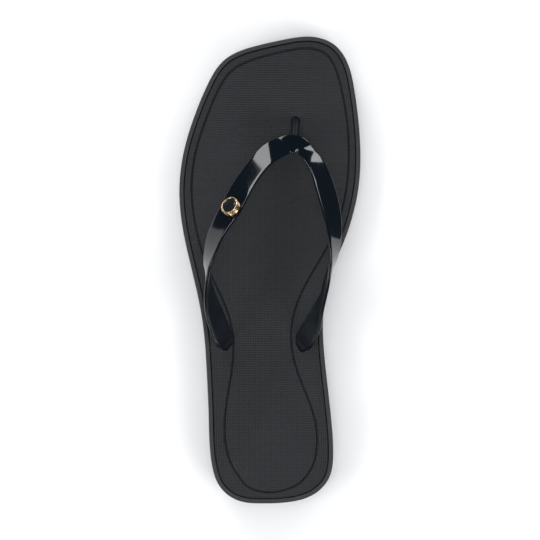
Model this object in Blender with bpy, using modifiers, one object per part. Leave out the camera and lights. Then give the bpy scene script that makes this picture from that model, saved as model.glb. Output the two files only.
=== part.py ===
# Toe post sandal, left foot: a moulded rubber outsole cup, a cushioned footbed let into it,
# and one moulded V strap with its toe post, carrying a round stud on the outer leg.
# Toe along +Y, inner side of the foot along +X, floor at z = 0, all lengths in metres.
import math

import bmesh
import bpy
import numpy as np
from mathutils import Matrix, Vector

# Overall sizes
LENGTH = 0.256
BALL_WIDTH = 0.0996
HEEL_HEIGHT = 0.0210
BALL_HEIGHT = 0.0162
TOE_SPRING = 0.0050
ARCH_CLEARANCE = 0.0015
ARCH_LIFT = 0.0022
CLEARANCE = 0.0003

# Outsole
RIM_WIDTH = 0.0024
RIM_ROUND = 0.0010
LIP_ROUND = 0.0004
SIDE_TUCK = 0.0022
BOTTOM_ROUND = 0.0018
SIDE_GROOVE_HEIGHT = 0.0062
SIDE_GROOVE_WIDTH = 0.0012
SIDE_GROOVE_DEPTH = 0.0006
TREAD_WIDTH = 0.0022
TREAD_DEPTH = 0.0012
TREAD_PITCH = 0.0085
TREAD_MARGIN = 0.0090
FOREFOOT_TREADS = 7
FOREFOOT_TREADS_END = 0.815
HEEL_TREADS = 6

# Footbed
FOOTBED_THICKNESS = 0.0080
FOOTBED_DROP = 0.0004
FLANGE_ROUND = 0.0007
GROOVE_INSET = 0.0065
GROOVE_WIDTH = 0.0016
GROOVE_DEPTH = 0.0013
PANEL_STEP = 0.0005
DISH_DEPTH = 0.0022
DISH_SPAN = 0.0180

# Strap
STRAP_WIDTH = 0.0146
STRAP_THICKNESS = 0.0022
STRAP_EDGE_ROUND = 0.0007
STRAP_DRAFT = 0.0007
STRAP_CROWN = 0.0001
STRAP_RISE = 0.0360
JUNCTION_WIDTH = 0.0108
CROTCH_RADIUS = 0.0035
POST_DIAMETER = 0.0047
PLUG_DIAMETER = 0.0120
PLUG_HEIGHT = 0.0016

# Stud
STUD_DIAMETER = 0.0100
STUD_BASE_DIAMETER = 0.0096
STUD_HEIGHT = 0.0036
STUD_EDGE_ROUND = 0.0003
STUD_NECK_DEPTH = 0.0006
STUD_LIP = 0.0007
STUD_RECESS = 0.0008
ENAMEL_THICKNESS = 0.0005

# Mesh fineness. CORNER_SHARE places the middle ring of a rounded corner.
STATIONS = 112
OUTLINE_STEPS = 24
CORNER_SHARE = 0.3
FLOOR_COLUMNS = 3
PANEL_COLUMNS = 8
STRAP_STEPS = 2
TAIL_ROWS = 5
ROUND_SIDES = 24

# Sole outline from the toe tip down the inner side, round the heel and up the outer side.
# Columns: along (share of LENGTH from the heel), across (share of BALL_WIDTH, + is the inner
# side), groove (distance of the panel groove from the outline, share of GROOVE_INSET).
OUTLINE_INNER = (
    (1.0000, 0.2219, 1.00),
    (0.9828, 0.3574, 1.08),
    (0.9434, 0.4307, 1.14),
    (0.8926, 0.4649, 1.08),
    (0.8125, 0.4920, 0.98),
    (0.7418, 0.5010, 1.00),
    (0.6734, 0.4890, 1.02),
    (0.6219, 0.4618, 1.02),
    (0.5703, 0.4197, 1.06),
    (0.5188, 0.3655, 1.25),
    (0.4504, 0.3133, 1.97),
    (0.3820, 0.2952, 2.64),
    (0.2961, 0.3082, 2.48),
    (0.1934, 0.3373, 1.46),
    (0.1074, 0.3514, 1.46),
    (0.0563, 0.3303, 1.72),
    (0.0207, 0.2490, 1.57),
    (0.0031, 0.1104, 1.12),
)
OUTLINE_OUTER = (
    (0.0000, -0.0402, 1.00),
    (0.0066, -0.1757, 1.55),
    (0.0359, -0.2731, 1.83),
    (0.0840, -0.3173, 1.57),
    (0.1797, -0.3343, 1.38),
    (0.2961, -0.3474, 2.22),
    (0.3820, -0.3665, 2.34),
    (0.4848, -0.4197, 1.46),
    (0.5703, -0.4709, 1.15),
    (0.6602, -0.4990, 1.06),
    (0.7559, -0.4739, 1.01),
    (0.8352, -0.4116, 1.03),
    (0.8961, -0.3454, 1.03),
    (0.9492, -0.2540, 1.11),
    (0.9816, -0.0633, 1.03),
    (0.9945, 0.0904, 0.97),
)

# Side profile. Columns: along, wedge (0 at the ball's height, 1 at the heel's), spring (share
# of TOE_SPRING), arch (share of ARCH_CLEARANCE and ARCH_LIFT), dish (share of DISH_DEPTH).
PROFILE = (
    (0.00, 1.00, 0.00, 0.0, 0.6),
    (0.10, 1.00, 0.00, 0.0, 1.0),
    (0.22, 0.96, 0.00, 0.0, 1.0),
    (0.34, 0.84, 0.00, 0.6, 0.8),
    (0.44, 0.60, 0.00, 1.0, 0.5),
    (0.54, 0.30, 0.00, 0.5, 0.4),
    (0.62, 0.10, 0.00, 0.0, 0.4),
    (0.72, 0.00, 0.00, 0.0, 0.4),
    (0.82, -0.06, 0.06, 0.0, 0.4),
    (0.92, -0.14, 0.42, 0.0, 0.4),
    (1.00, -0.22, 1.00, 0.0, 0.3),
)
PROFILE_COLUMNS = ("along", "wedge", "spring", "arch", "dish")

# Strap legs from the junction down to the footbed. Columns: along, across, rise (height of the
# strap's middle above the rim, share of STRAP_RISE), width (share of STRAP_WIDTH), roll
# (degrees, 0 lies flat, 90 stands on edge, more turns the inner face up).
OUTER_LEG = (
    (0.750, 0.020, 0.594, 0.915, 31),
    (0.728, -0.040, 0.650, 0.910, 36),
    (0.664, -0.151, 0.801, 1.005, 38),
    (0.629, -0.196, 0.869, 1.020, 40),
    (0.576, -0.272, 0.961, 0.925, 48),
    (0.538, -0.303, 0.998, 0.920, 60),
    (0.506, -0.322, 0.991, 0.890, 75),
    (0.472, -0.322, 0.894, 0.850, 96),
    (0.445, -0.316, 0.750, 0.840, 114),
    (0.420, -0.302, 0.586, 0.840, 132),
    (0.392, -0.280, 0.392, 0.845, 143),
    (0.368, -0.259, 0.236, 0.850, 147),
    (0.353, -0.243, 0.116, 0.820, 149),
    (0.344, -0.234, 0.038, 0.690, 151),
    (0.337, -0.228, -0.026, 0.450, 151),
)
INNER_LEG = (
    (0.739, 0.231, 0.587, 0.750, 39),
    (0.723, 0.260, 0.633, 0.830, 42),
    (0.681, 0.303, 0.753, 0.940, 44),
    (0.638, 0.334, 0.861, 0.985, 48),
    (0.588, 0.357, 0.956, 0.950, 56),
    (0.556, 0.361, 0.999, 0.920, 66),
    (0.525, 0.356, 1.004, 0.870, 77),
    (0.489, 0.336, 0.945, 0.850, 92),
    (0.456, 0.314, 0.807, 0.840, 99),
    (0.418, 0.279, 0.582, 0.840, 118),
    (0.390, 0.248, 0.392, 0.840, 141),
    (0.368, 0.218, 0.240, 0.840, 149),
    (0.353, 0.195, 0.124, 0.830, 152),
    (0.343, 0.180, 0.044, 0.710, 153),
    (0.335, 0.168, -0.022, 0.470, 153),
)
# Anchor plugs under the footbed: along, across, width share and roll of the strap's end there.
OUTER_PLUG = (0.330, -0.221, 0.36, 151)
INNER_PLUG = (0.327, 0.157, 0.38, 153)

# Junction of the two legs: an arc round the crotch, from the outer leg over its middle to the
# inner leg. Columns: heading from the crotch, rise, width (share of JUNCTION_WIDTH), roll.
CROTCH_ALONG = 0.7320
CROTCH_ACROSS = 0.1374
JUNCTION = (
    (122, 0.540, 1.110, 25),
    (107, 0.530, 1.040, 20),
    (92, 0.524, 1.000, 17),
    (78, 0.522, 0.980, 18),
    (66, 0.525, 0.950, 22),
    (55, 0.532, 0.925, 28),
    (46, 0.540, 0.910, 33),
)

# Toe post from the junction down to its plug. Columns: along, across, rise (share of the
# height from the rim to the junction), thickness (share of POST_DIAMETER).
TOE_POST = (
    (0.7690, 0.1390, 0.78, 1.12),
    (0.7850, 0.1402, 0.50, 1.00),
    (0.8040, 0.1416, 0.22, 1.00),
    (0.8180, 0.1424, -0.04, 1.00),
)
POST_PLUG = (0.8200, 0.1424)
POST_ROOT_SHARE = 1.15
POST_ROOT_SINK = 0.0008

# Stud on the outer leg: the leg's row that it sits on, and how far towards the inner edge.
STUD_ROW = 3
STUD_SHIFT = 0.0018

# Rings on the stud's side. Columns: upper and lower edge, shares of STUD_HEIGHT.
STUD_RINGS = (
    (1.00, 0.80),
    (0.70, 0.53),
    (0.43, 0.27),
)
STUD_FOOT = 0.17


def smooth_through(rows, steps, closed=False):
    """Points along a cubic spline through the rows, spaced by chord length."""
    points = np.array(rows, dtype=float)
    count = len(points)
    following = np.roll(points, -1, axis=0)
    chords = np.linalg.norm((following - points)[:, :2], axis=1)
    system = np.eye(count)
    target = np.zeros_like(points)
    first, last = (0, count) if closed else (1, count - 1)
    for i in range(first, last):
        before, after = chords[i - 1], chords[i]
        ahead, behind = (i + 1) % count, i - 1
        system[i] = 0
        system[i, behind] += before
        system[i, i] += 2 * (before + after)
        system[i, ahead] += after
        target[i] = 6 * ((points[ahead] - points[i]) / after - (points[i] - points[behind]) / before)
    bend = np.linalg.solve(system, target)
    result = []
    spans = count if closed else count - 1
    for i in range(spans):
        j = (i + 1) % count
        for step in range(steps):
            b = step / steps
            a = 1 - b
            curve = (a ** 3 - a) * bend[i] + (b ** 3 - b) * bend[j]
            result.append(a * points[i] + b * points[j] + curve * chords[i] ** 2 / 6)
    if not closed:
        result.append(points[-1])
    return np.array(result)


def evenly(points, spans):
    """The same line cut into equal lengths, without its last point."""
    lengths = np.linalg.norm(np.diff(points[:, :2], axis=0), axis=1)
    travelled = np.concatenate([[0], np.cumsum(lengths)])
    wanted = np.linspace(0, travelled[-1], spans + 1)[:-1]
    return np.stack([np.interp(wanted, travelled, column) for column in points.T], axis=1)


def stations():
    """Outline points, inward normals and groove distances at even steps round the sole."""
    rows = [
        ((along - 0.5) * LENGTH, across * BALL_WIDTH, groove * GROOVE_INSET)
        for along, across, groove in OUTLINE_INNER + OUTLINE_OUTER
    ]
    line = smooth_through(rows, OUTLINE_STEPS, closed=True)
    line = np.vstack([line, line[:1]])
    heel = len(OUTLINE_INNER) * OUTLINE_STEPS
    half = STATIONS // 2
    even = np.vstack([evenly(line[: heel + 1], half), evenly(line[heel:], half)])
    points = even[:, [1, 0]]
    run = np.roll(points, -1, axis=0) - np.roll(points, 1, axis=0)
    run /= np.linalg.norm(run, axis=1)[:, None]
    inward = np.stack([run[:, 1], -run[:, 0]], axis=1)
    return points, inward, even[:, 2]


OUTLINE_POINTS, INWARD, GROOVE_LINE = stations()


def profile(y, column):
    """A column of PROFILE at y, by a cubic that never overshoots its rows."""
    xs = [row[0] for row in PROFILE]
    values = [row[PROFILE_COLUMNS.index(column)] for row in PROFILE]
    steps = np.diff(values) / np.diff(xs)
    slopes = [0.0]
    for before, after in zip(steps[:-1], steps[1:]):
        slopes.append(2 * before * after / (before + after) if before * after > 0 else 0.0)
    slopes.append(steps[-1])
    along = min(max(y / LENGTH + 0.5, 0.0), 1.0)
    k = min(int(np.searchsorted(xs, along, side="right")) - 1, len(xs) - 2)
    width = xs[k + 1] - xs[k]
    t = (along - xs[k]) / width
    ends = values[k] * (1 + 2 * t) * (1 - t) ** 2 + values[k + 1] * t * t * (3 - 2 * t)
    return ends + width * (slopes[k] * t * (1 - t) ** 2 - slopes[k + 1] * t * t * (1 - t))


def underside(x, y):
    return profile(y, "spring") * TOE_SPRING + profile(y, "arch") * ARCH_CLEARANCE


def level_rim(y):
    """Height of the rim without the lift of the inner arch."""
    wedge = profile(y, "wedge") * (HEEL_HEIGHT - BALL_HEIGHT)
    return BALL_HEIGHT + wedge + profile(y, "spring") * TOE_SPRING


def rim_top(x, y):
    inner = min(max(x / (0.5 * BALL_WIDTH), 0.0), 1.0)
    return level_rim(y) + inner * profile(y, "arch") * ARCH_LIFT


def cup_floor(x, y):
    return level_rim(y) - FOOTBED_THICKNESS


def plan_ring(inset):
    """The outline moved inward; inset is one length or one for each station."""
    return OUTLINE_POINTS + INWARD * np.reshape(inset, (-1, 1))


def add_ring(bm, inset, height):
    """A ring of vertices; height is a function of x and y."""
    return [bm.verts.new((x, y, height(x, y))) for x, y in plan_ring(inset)]


def bridge(bm, lower, upper):
    count = len(lower)
    for i in range(count):
        j = (i + 1) % count
        bm.faces.new((lower[i], lower[j], upper[j], upper[i]))


def fill_across(bm, ring, columns, height):
    """Fill a ring with rows of faces that run from the inner side to the outer side."""
    count = len(ring)
    rows = []
    for i in range(1, count // 2):
        start, end = ring[i], ring[count - i]
        row = [start]
        for step in range(1, columns):
            place = start.co.lerp(end.co, step / columns)
            place.z = height(place, start.co, end.co)
            row.append(bm.verts.new(place))
        rows.append(row + [end])
    for row, following in zip(rows[:-1], rows[1:]):
        for k in range(columns):
            bm.faces.new((row[k], following[k], following[k + 1], row[k + 1]))
    for tip, row in ((ring[0], rows[0]), (ring[count // 2], rows[-1])):
        for k in range(columns):
            bm.faces.new((tip, row[k], row[k + 1]))


def follow(surface):
    """Height for fill_across that keeps to a surface given by x and y."""
    return lambda place, start, end: surface(place.x, place.y)


def finished_mesh(name, bm):
    bmesh.ops.recalc_face_normals(bm, faces=bm.faces)
    mesh = bpy.data.meshes.new(name)
    bm.to_mesh(mesh)
    bm.free()
    return mesh


def material(name, colour, roughness, metallic=0.0):
    made = bpy.data.materials.new(name)
    made.use_nodes = True
    shader = made.node_tree.nodes["Principled BSDF"]
    shader.inputs["Base Color"].default_value = (*colour, 1.0)
    shader.inputs["Roughness"].default_value = roughness
    shader.inputs["Metallic"].default_value = metallic
    return made


def piece(mesh, finish):
    """A sub-part of the sandal, in the sandal's own collection."""
    made = bpy.data.objects.new(mesh.name, mesh)
    mesh.materials.append(finish)
    mesh.shade_smooth()
    mesh.set_sharp_from_angle(angle=math.radians(35))
    SANDAL.objects.link(made)
    return made


def cutter(mesh):
    made = bpy.data.objects.new(mesh.name, mesh)
    made.hide_render = True
    made.display_type = "WIRE"
    CUTTERS.objects.link(made)
    return made


def combine(target, tool, operation):
    modifier = target.modifiers.new(tool.name, "BOOLEAN")
    modifier.operation = operation
    modifier.solver = "EXACT"
    modifier.object = tool


def outsole():
    """The rubber cup: flat heel and forefoot below, tucked side with one groove, rounded rim."""
    bm = bmesh.new()

    def side(share):
        """Height on the side wall, from 0 at the bottom round to 1 at the rim's shoulder."""
        return lambda x, y: (
            (1 - share) * (underside(x, y) + BOTTOM_ROUND) + share * (rim_top(x, y) - RIM_ROUND)
        )

    def tuck(share):
        """How far the side wall stands in from the outline at that share of its height."""
        return SIDE_TUCK * (1 - share) ** 2

    wall = BALL_HEIGHT - BOTTOM_ROUND - RIM_ROUND
    groove_mid = (SIDE_GROOVE_HEIGHT - BOTTOM_ROUND) / wall
    groove_half = 0.5 * SIDE_GROOVE_WIDTH / wall
    low, high = groove_mid - groove_half, groove_mid + groove_half
    bottom = add_ring(bm, SIDE_TUCK + BOTTOM_ROUND, underside)
    rings = [
        bottom,
        add_ring(bm, SIDE_TUCK + CORNER_SHARE * BOTTOM_ROUND,
                 lambda x, y: underside(x, y) + CORNER_SHARE * BOTTOM_ROUND),
        add_ring(bm, tuck(0), side(0)),
        add_ring(bm, tuck(low), side(low)),
        add_ring(bm, tuck(groove_mid) + SIDE_GROOVE_DEPTH, side(groove_mid)),
        add_ring(bm, tuck(high), side(high)),
        add_ring(bm, tuck(1), side(1)),
        add_ring(bm, CORNER_SHARE * RIM_ROUND,
                 lambda x, y: rim_top(x, y) - CORNER_SHARE * RIM_ROUND),
        add_ring(bm, RIM_ROUND, rim_top),
        add_ring(bm, RIM_WIDTH - LIP_ROUND, rim_top),
        add_ring(bm, RIM_WIDTH, lambda x, y: rim_top(x, y) - LIP_ROUND),
        add_ring(bm, RIM_WIDTH, cup_floor),
    ]
    for lower, upper in zip(rings[:-1], rings[1:]):
        bridge(bm, lower, upper)
    fill_across(bm, bottom, FLOOR_COLUMNS, follow(underside))
    fill_across(bm, rings[-1], FLOOR_COLUMNS, follow(cup_floor))
    made = piece(finished_mesh("outsole", bm), material("sole_rubber", (0.034, 0.036, 0.039), 0.62))
    combine(made, tread_cutter(), "DIFFERENCE")


def width_at(y, near_points=4):
    """Inner and outer limits of the outline at y, from the points nearest to it."""
    near = sorted(OUTLINE_POINTS, key=lambda point: abs(point[1] - y))[:near_points]
    return max(point[0] for point in near), min(point[0] for point in near)


def tread_cutter():
    """Straight grooves across the flat heel and forefoot, clear of the bottom's edge."""
    bm = bmesh.new()
    heel_start = -0.5 * LENGTH + SIDE_TUCK + BOTTOM_ROUND + TREAD_MARGIN
    forefoot_end = (FOREFOOT_TREADS_END - 0.5) * LENGTH
    places = [heel_start + k * TREAD_PITCH for k in range(HEEL_TREADS)]
    places += [forefoot_end - k * TREAD_PITCH for k in range(FOREFOOT_TREADS)]
    for y in places:
        inner, outer = width_at(y)
        length = inner - outer - 2 * TREAD_MARGIN
        middle = Vector((0.5 * (inner + outer), y, underside(0, y)))
        shape = Matrix.Diagonal((length, TREAD_WIDTH, 2 * TREAD_DEPTH, 1))
        bmesh.ops.create_cube(bm, size=1.0, matrix=Matrix.Translation(middle) @ shape)
    return cutter(finished_mesh("tread_grooves", bm))


def flange_top(x, y):
    return rim_top(x, y) - FOOTBED_DROP


def panel_edge(x, y):
    return flange_top(x, y) - PANEL_STEP


def ease(t):
    t = min(max(t, 0.0), 1.0)
    return t * t * (3 - 2 * t)


def panel_height(place, start, end):
    """Dished panel: level with its groove at the edge, lower towards the middle."""
    edge = panel_edge(place.x, place.y)
    from_side = min((place - start).length, (place - end).length)
    tip = 0.5 * LENGTH - GROOVE_INSET - abs(place.y)
    sunk = ease(from_side / DISH_SPAN) * ease(tip / DISH_SPAN)
    return edge - profile(place.y, "dish") * DISH_DEPTH * sunk


def footbed():
    """The cushioned insert: flange, panel groove, dished panel, strap and post holes."""
    bm = bmesh.new()
    outer = RIM_WIDTH + CLEARANCE
    half = 0.5 * GROOVE_WIDTH
    lower = add_ring(bm, outer, lambda x, y: cup_floor(x, y) + CLEARANCE)
    rings = [
        lower,
        add_ring(bm, outer, lambda x, y: flange_top(x, y) - FLANGE_ROUND),
        add_ring(bm, outer + CORNER_SHARE * FLANGE_ROUND,
                 lambda x, y: flange_top(x, y) - CORNER_SHARE * FLANGE_ROUND),
        add_ring(bm, outer + FLANGE_ROUND, flange_top),
        add_ring(bm, GROOVE_LINE - half, flange_top),
        add_ring(bm, GROOVE_LINE, lambda x, y: flange_top(x, y) - GROOVE_DEPTH),
        add_ring(bm, GROOVE_LINE + half, panel_edge),
    ]
    for below, above in zip(rings[:-1], rings[1:]):
        bridge(bm, below, above)
    fill_across(bm, lower, FLOOR_COLUMNS, follow(lambda x, y: cup_floor(x, y) + CLEARANCE))
    fill_across(bm, rings[-1], PANEL_COLUMNS, panel_height)
    made = piece(finished_mesh("footbed", bm), material("footbed_foam", (0.036, 0.037, 0.040), 0.8))
    combine(made, cutter(strap_tails("strap_slots", CLEARANCE)), "DIFFERENCE")
    combine(made, post_tool("post_hole", CLEARANCE), "DIFFERENCE")
    combine(made, cutter(plugs("plug_pockets", CLEARANCE)), "DIFFERENCE")


def plug_level(y):
    """Height of the middle of an anchor plug."""
    return cup_floor(0, y) + 2 * CLEARANCE + 0.5 * PLUG_HEIGHT


def leg_rows(rows, plug):
    placed = []
    for along, across, rise, width, roll in rows:
        y = (along - 0.5) * LENGTH
        height = level_rim(y) + rise * STRAP_RISE
        placed.append((across * BALL_WIDTH, y, height, width * STRAP_WIDTH, roll))
    along, across, width, roll = plug
    y = (along - 0.5) * LENGTH
    placed.append((across * BALL_WIDTH, y, plug_level(y), width * STRAP_WIDTH, roll))
    return placed


def junction_rows():
    """The arc round the crotch that joins the two legs."""
    crotch_x = CROTCH_ACROSS * BALL_WIDTH
    crotch_y = (CROTCH_ALONG - 0.5) * LENGTH
    rows = []
    for heading, rise, share, roll in JUNCTION:
        width = share * JUNCTION_WIDTH
        lean = math.radians(roll)
        half = 0.5 * (width * math.cos(lean) + STRAP_THICKNESS * math.sin(lean))
        radius = CROTCH_RADIUS + half
        x = crotch_x + radius * math.cos(math.radians(heading))
        y = crotch_y + radius * math.sin(math.radians(heading))
        rows.append((x, y, level_rim(y) + rise * STRAP_RISE, width, roll))
    return rows


def strap_frames():
    """Middle, outward edge direction, face direction and width at each section of the V."""
    rows = leg_rows(OUTER_LEG, OUTER_PLUG)[::-1] + junction_rows() + leg_rows(INNER_LEG, INNER_PLUG)
    line = smooth_through(rows, STRAP_STEPS)
    middles = line[:, :3]
    runs = np.gradient(middles, axis=0)
    frames = []
    for middle, run, width, roll in zip(middles, runs, line[:, 3], np.radians(line[:, 4])):
        run = Vector(run).normalized()
        outward = Vector((0, 0, 1)).cross(run).normalized()
        upward = run.cross(outward)
        edge = math.cos(roll) * outward - math.sin(roll) * upward
        face = math.sin(roll) * outward + math.cos(roll) * upward
        frames.append((Vector(middle), edge, face, width))
    return frames


def strap_section(width, grow):
    """Points round the strap's section, which is narrower below, grown by a clearance."""
    round_off = STRAP_EDGE_ROUND + grow
    across = 0.5 * width + grow - round_off
    through = 0.5 * STRAP_THICKNESS + grow - round_off
    points = []
    for side_x, side_z, start in ((1, 1, 0), (-1, 1, 90), (-1, -1, 180), (1, -1, 270)):
        reach = across if side_z > 0 else across - STRAP_DRAFT
        for turn in (0, 45, 90):
            angle = math.radians(start + turn)
            points.append((side_x * reach + round_off * math.cos(angle),
                           side_z * through + round_off * math.sin(angle)))
    points.insert(9, (0.0, -0.5 * STRAP_THICKNESS - grow))
    points.insert(3, (0.0, 0.5 * STRAP_THICKNESS + STRAP_CROWN + grow))
    return points


def loft_strap(bm, frames, grow=0.0):
    rings = []
    for middle, edge, face, width in frames:
        section = strap_section(width, grow)
        rings.append([bm.verts.new(middle + edge * a + face * b) for a, b in section])
    for before, after in zip(rings[:-1], rings[1:]):
        bridge(bm, before, after)
    bm.faces.new(rings[0])
    bm.faces.new(rings[-1])


def strap_tails(name, grow):
    """The two ends of the strap alone, from the plugs to well above the footbed."""
    frames = strap_frames()
    bm = bmesh.new()
    kept = TAIL_ROWS * STRAP_STEPS + 1
    loft_strap(bm, frames[:kept], grow)
    loft_strap(bm, frames[-kept:], grow)
    return finished_mesh(name, bm)


def post_line():
    """Points of the toe post's middle line with its thickness share."""
    root_x, root_y, root_z = junction_rows()[len(JUNCTION) // 2][:3]
    rim = level_rim(root_y)
    rows = [(root_x, root_y, root_z - POST_ROOT_SINK, POST_ROOT_SHARE)]
    for along, across, rise, thickness in TOE_POST:
        y = (along - 0.5) * LENGTH
        rows.append((across * BALL_WIDTH, y, level_rim(y) + rise * (root_z - rim), thickness))
    along, across = POST_PLUG
    y = (along - 0.5) * LENGTH
    rows.append((across * BALL_WIDTH, y, plug_level(y), 1.0))
    fine = smooth_through([(z, x, y, share) for x, y, z, share in rows], STRAP_STEPS)
    return [(x, y, z, share) for z, x, y, share in fine]


def post_tool(name, grow):
    """The toe post as a tube, made a mesh so that it can be joined or cut."""
    curve = bpy.data.curves.new(name + "_line", "CURVE")
    curve.dimensions = "3D"
    curve.bevel_depth = 0.5 * POST_DIAMETER + grow
    curve.bevel_resolution = 4
    curve.use_fill_caps = True
    line = post_line()
    spline = curve.splines.new("POLY")
    spline.points.add(len(line) - 1)
    for point, (x, y, z, share) in zip(spline.points, line):
        point.co = (x, y, z, 1)
        point.radius = share
    source = bpy.data.objects.new(name + "_line", curve)
    CUTTERS.objects.link(source)
    bpy.context.view_layer.update()
    evaluated = source.evaluated_get(bpy.context.evaluated_depsgraph_get())
    mesh = bpy.data.meshes.new_from_object(evaluated)
    bpy.data.objects.remove(source)
    bm = bmesh.new()
    bm.from_mesh(mesh)
    bpy.data.meshes.remove(mesh)
    bmesh.ops.remove_doubles(bm, verts=bm.verts, dist=0.00001)
    return cutter(finished_mesh(name, bm))


def plugs(name, grow):
    """The flat plugs that hold the strap's three ends under the footbed."""
    bm = bmesh.new()
    for row in (OUTER_PLUG, INNER_PLUG, POST_PLUG):
        y = (row[0] - 0.5) * LENGTH
        top = plug_level(y) + 0.5 * PLUG_HEIGHT + grow
        bottom = plug_level(y) - 0.5 * PLUG_HEIGHT
        if grow:
            bottom = cup_floor(0, y) - CLEARANCE
        middle = Vector((row[1] * BALL_WIDTH, y, 0.5 * (top + bottom)))
        radius = 0.5 * PLUG_DIAMETER + grow
        bmesh.ops.create_cone(
            bm, cap_ends=True, segments=ROUND_SIDES, radius1=radius, radius2=radius,
            depth=top - bottom, matrix=Matrix.Translation(middle),
        )
    return finished_mesh(name, bm)


def stud_place():
    """Matrix of the stud: its axis along the strap's face, its base on the strap."""
    rows_before_junction = len(OUTER_LEG) - STUD_ROW
    middle, edge, face, width = strap_frames()[rows_before_junction * STRAP_STEPS]
    run = edge.cross(face)
    turn = Matrix((edge, run, face)).transposed().to_4x4()
    seat = middle - edge * STUD_SHIFT + face * (0.5 * STRAP_THICKNESS + STRAP_CROWN)
    return Matrix.Translation(seat) @ turn


def strap():
    """The moulded V: both legs, the junction, the toe post and the three plugs in one."""
    bm = bmesh.new()
    loft_strap(bm, strap_frames())
    made = piece(finished_mesh("strap", bm), material("strap_gloss", (0.006, 0.010, 0.016), 0.18))
    combine(made, post_tool("toe_post", 0.0), "UNION")
    combine(made, cutter(plugs("plugs", 0.0)), "UNION")


def turned(name, outline, finish):
    """A turned piece from radius and height pairs, running down its outer side."""
    bm = bmesh.new()
    verts = [bm.verts.new((radius, 0, height)) for radius, height in outline]
    for before, after in zip(verts[:-1], verts[1:]):
        bm.edges.new((before, after))
    mesh = bpy.data.meshes.new(name)
    bm.to_mesh(mesh)
    bm.free()
    made = piece(mesh, finish)
    screw = made.modifiers.new("turn", "SCREW")
    screw.steps = screw.render_steps = ROUND_SIDES
    screw.use_merge_vertices = True
    screw.merge_threshold = 0.00001
    made.matrix_world = stud_place() @ Matrix.Translation((0, 0, CLEARANCE))
    return made


def stud():
    """A turned drum with stepped rings on its side and a dark disc let into its top."""
    full = 0.5 * STUD_DIAMETER
    base = 0.5 * STUD_BASE_DIAMETER
    neck = full - STUD_NECK_DEPTH
    lip = full - STUD_LIP
    soft = STUD_EDGE_ROUND
    recess = STUD_HEIGHT - STUD_RECESS
    outline = [(0, recess), (lip, recess), (lip, STUD_HEIGHT - soft), (lip + soft, STUD_HEIGHT)]
    for upper, lower in STUD_RINGS:
        outline.append((full - soft, upper * STUD_HEIGHT))
        outline.append((full, upper * STUD_HEIGHT - soft))
        outline.append((full, lower * STUD_HEIGHT))
        outline.append((neck, lower * STUD_HEIGHT - soft))
    outline += [(base, STUD_FOOT * STUD_HEIGHT), (base, 0), (0, 0)]
    turned("stud_drum", outline, material("stud_metal", (0.62, 0.46, 0.27), 0.28, 1.0))
    radius = lip - CLEARANCE
    low = recess + CLEARANCE
    high = low + ENAMEL_THICKNESS
    disc = ((0, high), (radius - soft, high), (radius, high - soft), (radius, low), (0, low))
    turned("stud_enamel", disc, material("stud_black", (0.008, 0.008, 0.009), 0.12))


for old in list(bpy.data.objects):
    bpy.data.objects.remove(old)
SANDAL = bpy.data.collections.new("toe_post_sandal")
CUTTERS = bpy.data.collections.new("cutters")
bpy.context.scene.collection.children.link(SANDAL)
bpy.context.scene.collection.children.link(CUTTERS)
outsole()
footbed()
strap()
stud()
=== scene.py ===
import math

import bmesh
import bpy
import numpy as np
from mathutils import Matrix, Vector


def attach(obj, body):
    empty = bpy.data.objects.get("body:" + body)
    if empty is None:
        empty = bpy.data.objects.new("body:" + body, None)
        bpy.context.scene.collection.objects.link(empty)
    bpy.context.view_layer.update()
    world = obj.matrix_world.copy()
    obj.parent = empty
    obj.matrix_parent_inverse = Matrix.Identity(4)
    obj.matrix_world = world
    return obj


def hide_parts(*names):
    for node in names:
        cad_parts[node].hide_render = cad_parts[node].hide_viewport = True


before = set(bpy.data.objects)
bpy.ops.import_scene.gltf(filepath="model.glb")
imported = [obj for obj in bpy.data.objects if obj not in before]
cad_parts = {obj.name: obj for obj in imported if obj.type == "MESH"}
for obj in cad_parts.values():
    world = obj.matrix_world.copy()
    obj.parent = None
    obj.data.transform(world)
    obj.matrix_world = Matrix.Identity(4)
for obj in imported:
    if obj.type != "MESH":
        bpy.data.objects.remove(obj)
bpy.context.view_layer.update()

# Studio. One left sandal lies on a pale table, seen from straight above as in a catalogue picture.
# The camera is a long way up, a little to the inner side, and looks at the middle of the sandal.
VIEW_WIDTH = 0.2962
VIEW_LEVEL = 0.018
CAMERA_PLACE = Vector((0.067, -0.001, 1.900))
CAMERA_TARGET = Vector((0.0, 0.0, 0.010))
SENSOR_WIDTH = 36
VIEW_REACH = 30

camera_data = bpy.data.cameras.new("camera")
camera_data.sensor_width = SENSOR_WIDTH
camera_data.lens = SENSOR_WIDTH * (CAMERA_PLACE.z - VIEW_LEVEL) / VIEW_WIDTH
camera_data.clip_end = VIEW_REACH
camera = bpy.data.objects.new("camera", camera_data)
bpy.context.scene.collection.objects.link(camera)
camera.location = CAMERA_PLACE
away = (CAMERA_PLACE - CAMERA_TARGET).normalized()
across = Vector((0, 1, 0)).cross(away).normalized()
camera.rotation_euler = Matrix((across, away.cross(across), away)).transposed().to_euler()
bpy.context.scene.camera = camera
bpy.context.scene.view_settings.view_transform = "Standard"


def slab(name, low, high, finish):
    """A flat stretch of the table between two corners."""
    mesh = bpy.data.meshes.new(name)
    corners = [(low[0], low[1], 0), (high[0], low[1], 0), (high[0], high[1], 0), (low[0], high[1], 0)]
    mesh.from_pydata(corners, [], [(0, 1, 2, 3)])
    mesh.materials.append(finish)
    made = bpy.data.objects.new(name, mesh)
    bpy.context.scene.collection.objects.link(made)
    return made


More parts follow.
